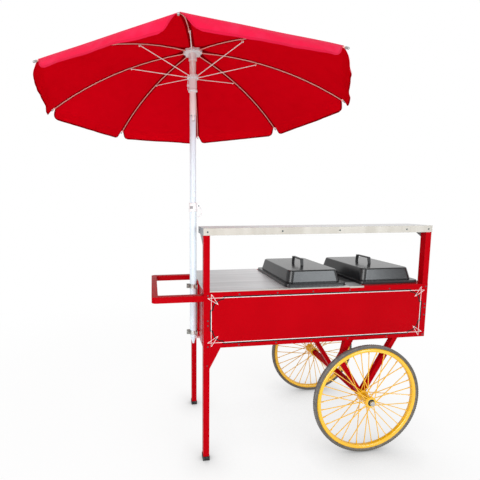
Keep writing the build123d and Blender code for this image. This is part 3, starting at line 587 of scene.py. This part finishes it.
collar_low, collar_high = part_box("lock_collar")
pad_mid, pad_rise = (collar_low.z + collar_high.z) / 2, 0.0072
pad_facing, pad_half, pad_steps = math.radians(-121), math.radians(23), 8
pad_inner, pad_outer = 0.0222, 0.0242
pad_section = ((pad_inner, -pad_rise), (pad_outer, -pad_rise), (pad_outer, pad_rise), (pad_inner, pad_rise))
work = bmesh.new()
loops = []
for radius, rise in pad_section:
    loop = []
    for k in range(pad_steps + 1):
        angle = pad_facing + pad_half * (2 * k / pad_steps - 1)
        spot = Vector((radius * math.cos(angle), radius * math.sin(angle), pad_mid + rise))
        loop.append(work.verts.new(mast + spot))
    loops.append(loop)
for first, second in zip(loops, loops[1:] + loops[:1]):
    for k in range(pad_steps):
        work.faces.new((first[k], first[k + 1], second[k + 1], second[k]))
for k in (0, pad_steps):
    work.faces.new([loop[k] for loop in loops])
bmesh.ops.recalc_face_normals(work, faces=work.faces)
mesh = kept_mesh(work, "collar_pad")
pad_grey = painted("pad_grey", (0.33, 0.33, 0.34, 1), (0.26, 0.26, 0.27, 1), (0.5, 0.5, 0.5, 1), 0.5)
mesh.materials.append(pad_grey)
place_piece(bpy.data.objects.new("collar_pad", mesh), "cart")

pin_spot, lug_half = Vector((mast.x + 0.030, mast.y, 1.356)), 0.009
bolt_spot, leg_depth = Vector((0.003, 0.229, 0.530)), 0.245
bolts = [(spot + way * depth, way, UP) for spot, depth in ((pin_spot, lug_half), (bolt_spot, leg_depth))
         for way in (TO_FRONT, TO_BACK)]
rivet_heads("pin_and_bolt_heads", bolts, 0.0036, 0.002)


# Umbrella frame. Eight steel ribs, bowed a little, with grey metal caps on their tips, are
# hinged to a moulded crown, and eight paler struts from a sliding runner push them up.
# The ribs' salmon pink is painted red light from the cloth.

dress(white_moulding, "crown", "runner", "runner_catch")
rib_count, tip_start, tip_blur = 8, 0.7685, 0.0003
# The ribs' salmon pink is painted red light from the cloth above them.
for rod, dim, pale in (("rib", (0.84, 0.36, 0.31, 1), (0.90, 0.43, 0.37, 1)),
                       ("strut", (0.74, 0.71, 0.69, 1), (0.84, 0.82, 0.80, 1))):
    rod_coat, shader, start = finish(rod + "_coat", Specular_IOR_Level=0.35)
    from_mast = {"Vector": start.place(), "Location": -mast, "Scale": (1, 1, 0)}
    spot = start.node("ShaderNodeMapping", None, from_mast)
    reach = start.node("ShaderNodeVectorMath", {"operation": "LENGTH"}, {0: spot}, 1)
    capped = reach.step(tip_start - tip_blur, tip_start + tip_blur)
    fleck = start.speckle(260.0, 3.0)
    capped.mix(fleck.mix(dim, pale), (0.34, 0.345, 0.34, 1)).feed(shader["Base Color"])
    (0.8 * capped).feed(shader["Metallic"])
    (0.36 - 0.14 * capped + 0.06 * fleck).feed(shader["Roughness"])
    dress(rod_coat, *[f"{rod}_{k}" for k in range(1, rib_count + 1)])


# Canopy. Eight gores of red coated cloth, sewn along the ribs into one sheet that is
# pulled tight over them, with a hemmed flap hanging from each edge. Each part goes with
# its rib and meets the next in mid-bay.

rib_heading, bay = math.radians(-100.7), math.tau / rib_count
rib_hinge, rib_tip, hinge_tab = Vector((0.038, 0, 2.155)), Vector((0.778, 0, 1.884)), 0.017
rib_along = (rib_tip - rib_hinge).normalized()
rib_up = Vector((-rib_along.z, 0, rib_along.x))
rib_root = rib_hinge + rib_along * hinge_tab
rib_bow, cloth_lift, cloth_thick = 0.044, 0.0047, 0.0012
cloth_edge, cloth_shoulder = 0.9806, 0.119
neck, crown_top = 0.052, 2.1640
flap_long, flap_notch, flap_slant, flap_round, flap_tuck = 0.060, 0.006, 0.016, 0.020, 0.022
flap_start, flap_end = math.radians(45), math.radians(76)
flap_wave, flap_ripple, flap_crease, flap_curl = 0.012, 0.005, 0.0030, 0.004
slack, roof_ripple, roof_long, roof_gap = 0.010, 0.0035, 0.74, 0.05
rows, columns, flap_rows = 40, 22, 10
hem_stitch, hem_band, hem_fold = 0.0075, 0.0090, 0.0095
seam_stitch, seam_band, seam_fold = 0.0045, 0.0165, 0.0075
stitch_long, fold_blur = 0.0042, 0.001
measures = ("hem_gap", "hem_run", "seam_gap")


def blend_in(material, share, other):
    """Mixes another shader into a material's own, by a share."""
    tree = material.node_tree
    both = other.node("ShaderNodeMixShader", None, {0: share, 2: other})
    tree.links.new(tree.nodes["Principled BSDF"].outputs[0], both.socket.node.inputs[1])
    both.feed(tree.nodes["Material Output"].inputs["Surface"])


def cloth_material(name, colour, fleck_and_glint, thread, binding_and_rib_shade, shine, sheen, through):
    """Coated canvas: fine weave, soft creases, stitched hems and a seam along each rib, with painted shade by
    it.
    """
    material, shader, start = finish(name, Roughness=0.66, Specular_IOR_Level=shine, Sheen_Weight=sheen,
                                     Sheen_Roughness=0.4, Sheen_Tint=(1.0, 0.40, 0.55, 1))
    hem, run, seam = [start.node("ShaderNodeAttribute", {"attribute_name": label}, out="Fac")
                      for label in measures]
    stitches = run / stitch_long
    dash = stitches.math("FRACT", stitches).step(0.62, 0.58)
    hem_line = (hem - hem_stitch).absolute().step(0.0008, 0.0004) * dash
    seam_line = (seam - seam_stitch).absolute().step(0.0007, 0.0003)
    sewn = hem_line.larger(0.6 * seam_line)
    # A darker colour binds the hems, and the dark band beside each rib is painted shade, deep on the
    # underside.
    binding_and_rib_shade_mask = 0.85 * hem.step(hem_band, hem_band - 0.002).larger(seam.step(seam_band, seam_band - 0.003))
    # On the outside the lighter flecks are painted glints on creases; on the underside they are a plain
    # change of tone.
    cloud = start.speckle(16.0, 3.0).step(0.42, 0.70)
    binding_and_rib_shade_mask.mix(sewn.mix(cloud.mix(colour, fleck_and_glint), thread), binding_and_rib_shade).feed(shader["Base Color"])
    crease = start.speckle(9.0, 3.0) + 0.35 * start.speckle(38.0, 4.0)
    fold = hem.step(hem_fold, hem_fold - fold_blur) + seam.step(seam_fold, seam_fold - fold_blur)
    weave = start.speckle(1400.0, 1.0)
    height = 0.006 * crease + 0.0009 * fold + 0.00006 * weave - 0.0004 * sewn
    height.bump(1.0, 0.55).feed(shader["Normal"])
    blend_in(material, through, start.node("ShaderNodeBsdfTranslucent", None, {"Color": colour}))
    return material


# The two sides are one red cloth; the outside's pinker tint, with more blue and green, is painted sheen.
cloth_outside = cloth_material("canopy_cloth_outside", (0.82, 0.008, 0.064, 1), (0.84, 0.019, 0.090, 1),
                               (0.46, 0.003, 0.016, 1), (0.72, 0.006, 0.050, 1), 0.12, 0.14, 0.30)
cloth_under = cloth_material("canopy_cloth_under", (0.76, 0.0006, 0.0100, 1), (0.73, 0.0005, 0.0090, 1),
                             (0.50, 0.0005, 0.005, 1), (0.13, 0.0002, 0.002, 1), 0.0, 0.0, 0.25)


def rib_cloth(share):
    """Where the cloth lies over a rib, at a share of the way out to its tip."""
    line = rib_root.lerp(rib_tip, share) + rib_up * rib_bow * 4 * share * (1 - share)
    return line + UP * cloth_lift


def gore_line(t):
    """The cloth's line out from the neck, at a share of the way to the edge."""
    share = cloth_edge * t
    point = rib_cloth(share)
    if share < cloth_shoulder:
        inward = share / cloth_shoulder
        start_point = Vector((neck, 0, crown_top))
        straight = start_point + (rib_cloth(cloth_shoulder) - start_point) * inward
        point = point.lerp(straight, (1 - inward) ** 2)
    return point


half_chord = gore_line(1.0).x * math.sin(bay / 2)
first_share = flap_notch / (2 * half_chord)


def gore_spot(t, share, heading, side):
    """A point of the roof: t out along the bay, and share of the way across to the next rib."""
    rib = gore_line(t)
    inset, aside = rib.x * (1 - share * (1 - math.cos(bay))), side * rib.x * share * math.sin(bay)
    belly = 4 * share * (1 - share)
    sag = slack * belly * math.sin(math.pi * min(1.0, t * 1.05)) ** 1.5
    spot = Matrix.Rotation(heading, 4, "Z") @ Vector((inset, aside, rib.z - sag)) + mast
    spot.z += roof_ripple * belly * noise.noise(spot * 5.0) * min(1.0, 4 * (1 - t) + 0.25)
    return spot


def flap_spot(step, u, heading, side):
    """A point of the flap, a step of the way down and u along it from the notch to mid-bay.

    With it go how far along the bay it is and how far from the hem."""
    slope, bend = flap_start + (flap_end - flap_start) * step, flap_long / (flap_end - flap_start)
    reach = bend * (math.sin(slope) - math.sin(flap_start))
    down = bend * (math.cos(flap_start) - math.cos(slope))
    out = Matrix.Rotation(heading + side * bay / 2, 4, "Z") @ TO_RIGHT
    start = flap_notch + flap_slant * step ** 1.2 + flap_tuck * step * max(0.0, -out.y)
    low = flap_long * step - (flap_long - flap_round)
    if low > 0:
        start += flap_round - math.sqrt(max(0.0, flap_round ** 2 - low ** 2))
    along = start + u * (half_chord - start)
    spot = gore_spot(1.0, along / (2 * half_chord), heading, side)
    flat_spot = Vector((spot.x, spot.y, 0))
    wave = flap_wave * noise.noise(flat_spot * 6.0) + flap_ripple * noise.noise(flat_spot * 15.0 + UP * 45)
    crease = noise.noise(flat_spot * 26.0 + UP * (7 - 1.8 * step))
    crease *= math.sin(math.pi * min(1.0, 0.15 + step))
    spot += out * (reach + wave * step + flap_crease * crease - flap_curl * step * (1 - u) ** 3)
    spot.z -= down
    return spot, along, min(flap_long * (1 - step), along - start + 0.0001)


def cloth_work():
    """An empty skin, and what adds a vertex to it with its measures."""
    work = bmesh.new()
    layers = [work.verts.layers.float.new(label) for label in measures]

    def vertex(spot, *values):
        made = work.verts.new(spot)
        for layer, value in zip(layers, values):
            made[layer] = value
        return made

    return work, vertex


def cloth_mesh(work, name):
    """Turns a skin's outside up and smooths it, and gives its mesh and its area."""
    bmesh.ops.recalc_face_normals(work, faces=work.faces)
    work.faces.ensure_lookup_table()
    if work.faces[0].normal.z < 0:
        bmesh.ops.reverse_faces(work, faces=work.faces)
    area = sum(face.calc_area() for face in work.faces)
    for face in work.faces:
        face.smooth = True
    return kept_mesh(work, name), area


def gore(number):
    """The part of the canopy that one rib carries, out to the middle of the bay on each side."""
    heading = rib_heading + bay * (number - 1)
    work, vertex = cloth_work()

    def joined(first, second, side):
        for a, b, c, d in zip(first, first[1:], second[1:], second):
            work.faces.new((a, d, c, b) if side > 0 else (a, b, c, d))

    roof = {}
    for i in range(rows + 1):
        t = i / rows
        width = 2 * gore_line(t).x * math.sin(bay / 2)
        fall = (1 - t) * roof_long + roof_gap
        middle = vertex(gore_spot(t, 0.0, heading, 1), fall, 0.0, 0.0)
        for side in (-1, 1):
            line = [middle]
            for j in range(columns + 1):
                share = first_share + (0.5 - first_share) * j / columns
                line.append(vertex(gore_spot(t, share, heading, side), fall, share * width, share * width))
            roof[i, side] = line
    for side in (-1, 1):
        for i in range(rows):
            joined(roof[i, side], roof[i + 1, side], side)
        above = roof[rows, side][1:]
        for step in range(1, flap_rows + 1):
            line = []
            for j in range(columns + 1):
                spot, along, gap = flap_spot(step / flap_rows, j / columns, heading, side)
                line.append(vertex(spot, gap, along, 1.0))
            joined(above, line, side)
            above = line
    mesh, area = cloth_mesh(work, f"canopy_gore_{number}")
    return mesh, area, heading


def cloth_piece(mesh, body):
    """Gives a single skin its thickness, outside and underside, and puts it on a body."""
    mesh.materials.append(cloth_outside)
    mesh.materials.append(cloth_under)
    piece = thickened(mesh, cloth_thick, -1.0, 1)
    piece.data.set_sharp_from_angle(angle=math.radians(50))
    place_piece(piece, body)
    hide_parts("canopy")
    return piece


for number in range(1, rib_count + 1):
    mesh, area, heading = gore(number)
    piece = cloth_piece(mesh, f"rib_{number}")
    sideways = Matrix.Rotation(heading, 3, "Z") @ Vector((0, 1, 0))
    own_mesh(piece)

cap_rows, cap_steps, cap_edge = 5, 8, 0.034
cap_lift, cap_hole, cap_rise = 0.0016, 0.30, 0.0022
work, vertex = cloth_work()
rings = []
for i in range(cap_rows + 1):
    ring = []
    for k in range(rib_count * cap_steps):
        heading, share = rib_heading + bay * (k // cap_steps), k % cap_steps / cap_steps
        spot = gore_spot(cap_edge * i / cap_rows, share, heading, 1) + UP * cap_lift
        if i == 0:
            spot = mast + (spot - mast) * cap_hole
            spot.z = crown_top + cap_rise
        ring.append(vertex(spot, 1.0, 0.0, 1.0))
    rings.append(ring)
for inner, outer in zip(rings, rings[1:]):
    for a, b, c, d in zip(inner, outer, outer[1:] + outer[:1], inner[1:] + inner[:1]):
        work.faces.new((a, b, c, d))
mesh, cap_area = cloth_mesh(work, "canopy_cap")
cap = cloth_piece(mesh, "head")
cap_wide = 2 * gore_line(cap_edge).x


# Studio. A plain white floor and backdrop, soft light from the front, on both sides and
# low down, and the camera where the photograph was taken, close in with a wide lens.

def seen_directly(start):
    """1 for what the camera sees, also in a shiny or clear surface, and 0 for what lights the cart."""
    seen = start.node("ShaderNodeLightPath", out="Is Camera Ray")
    for kind in ("Is Glossy Ray", "Is Transmission Ray"):
        seen = seen.larger(start.node("ShaderNodeLightPath", out=kind))
    return seen


floor_reach, wide_shade, close_shade = 30.0, 0.66, 0.16
floor_white, shader, start = finish("floor_white", Roughness=0.9, Specular_IOR_Level=0.0)
shader["Base Color"].default_value = (0.93, 0.93, 0.93, 1)
from_cart = start.node("ShaderNodeVectorMath", {"operation": "LENGTH"}, {0: start.place()}, 1)
far_off = from_cart.step(1.0, 3.2)
# What the camera sees of the floor is mostly a glow whose colour carries a painted shadow, darker where the
# cart closes in above and beside it.
open_above, open_beside = [
    start.node("ShaderNodeAmbientOcclusion", {"samples": 12}, {"Distance": reach}, "AO")
    for reach in (wide_shade, close_shade)]
painted_floor_shadow = ((0.52 + 0.48 * open_above) * (0.35 + 0.65 * open_beside)).mix((0, 0, 0, 1), (1, 1, 1, 1))
white = start.node("ShaderNodeEmission", None, {"Color": painted_floor_shadow, "Strength": 1.0})
blend_in(floor_white, seen_directly(start) * (0.93 + 0.07 * far_off), white)
mesh = bpy.data.meshes.new("floor")
floor_corners = [(floor_reach * x, floor_reach * y, 0) for x, y in ((-1, -1), (1, -1), (1, 1), (-1, 1))]
mesh.from_pydata(floor_corners, [], [(0, 1, 2, 3)])
mesh.materials.append(floor_white)
floor = bpy.data.objects.new("floor", mesh)
scene.collection.objects.link(floor)

world = bpy.data.worlds.new("studio")
scene.world = world
world.use_nodes = True
start = Wire(world.node_tree)
backdrop = world.node_tree.nodes["Background"].inputs
backdrop["Color"].default_value = (1, 1, 1, 1)
sky = 0.60
(sky + (1.0 - sky) * seen_directly(start)).feed(backdrop["Strength"])


def lamp(name, spot, aim, size, power, tint=(1, 1, 1)):
    """A square soft box at a spot, turned to a point."""
    data = bpy.data.lights.new(name, "AREA")
    data.size, data.energy, data.color = size, power, tint
    made = bpy.data.objects.new(name, data)
    made.location = spot
    made.rotation_euler = (Vector(aim) - Vector(spot)).to_track_quat("-Z", "Y").to_euler()
    scene.collection.objects.link(made)


lamp("key_light", (-2.4, -3.9, 3.4), (0.2, 0.2, 1.2), 2.6, 116.0)
lamp("fill_light", (2.75, -3.35, 1.80), (0.6, 0.1, 1.0), 1.6, 48.0, (0.90, 0.96, 1.0))
lamp("low_light", (-0.9, -3.3, 0.7), (-0.1, 0.2, 1.9), 1.6, 40.0)

eye = Vector((-0.2696, -1.4759, 1.3616))
yaw, pitch, roll = 0.1098, -0.0977, -0.0046
frame_px, focal_px, centre_u, centre_v = 480.0, 299.79, 185.10, 234.40
film_wide = 36.0
ahead = Vector((math.sin(yaw) * math.cos(pitch), math.cos(yaw) * math.cos(pitch), math.sin(pitch)))
right = Vector((math.cos(yaw), -math.sin(yaw), 0))
above = right.cross(ahead)
across = right * math.cos(roll) + above * math.sin(roll)
rise = above * math.cos(roll) - right * math.sin(roll)
camera_data = bpy.data.cameras.new("camera")
camera_data.sensor_width = film_wide
camera_data.lens = film_wide * focal_px / frame_px
camera_data.shift_x = (frame_px / 2 - centre_u) / frame_px
camera_data.shift_y = (centre_v - frame_px / 2) / frame_px
camera = bpy.data.objects.new("camera", camera_data)
turn = Matrix((across, rise, -ahead)).transposed().to_4x4()
camera.matrix_world = Matrix.Translation(eye) @ turn
scene.collection.objects.link(camera)
scene.camera = camera
scene.view_settings.view_transform = "Standard"
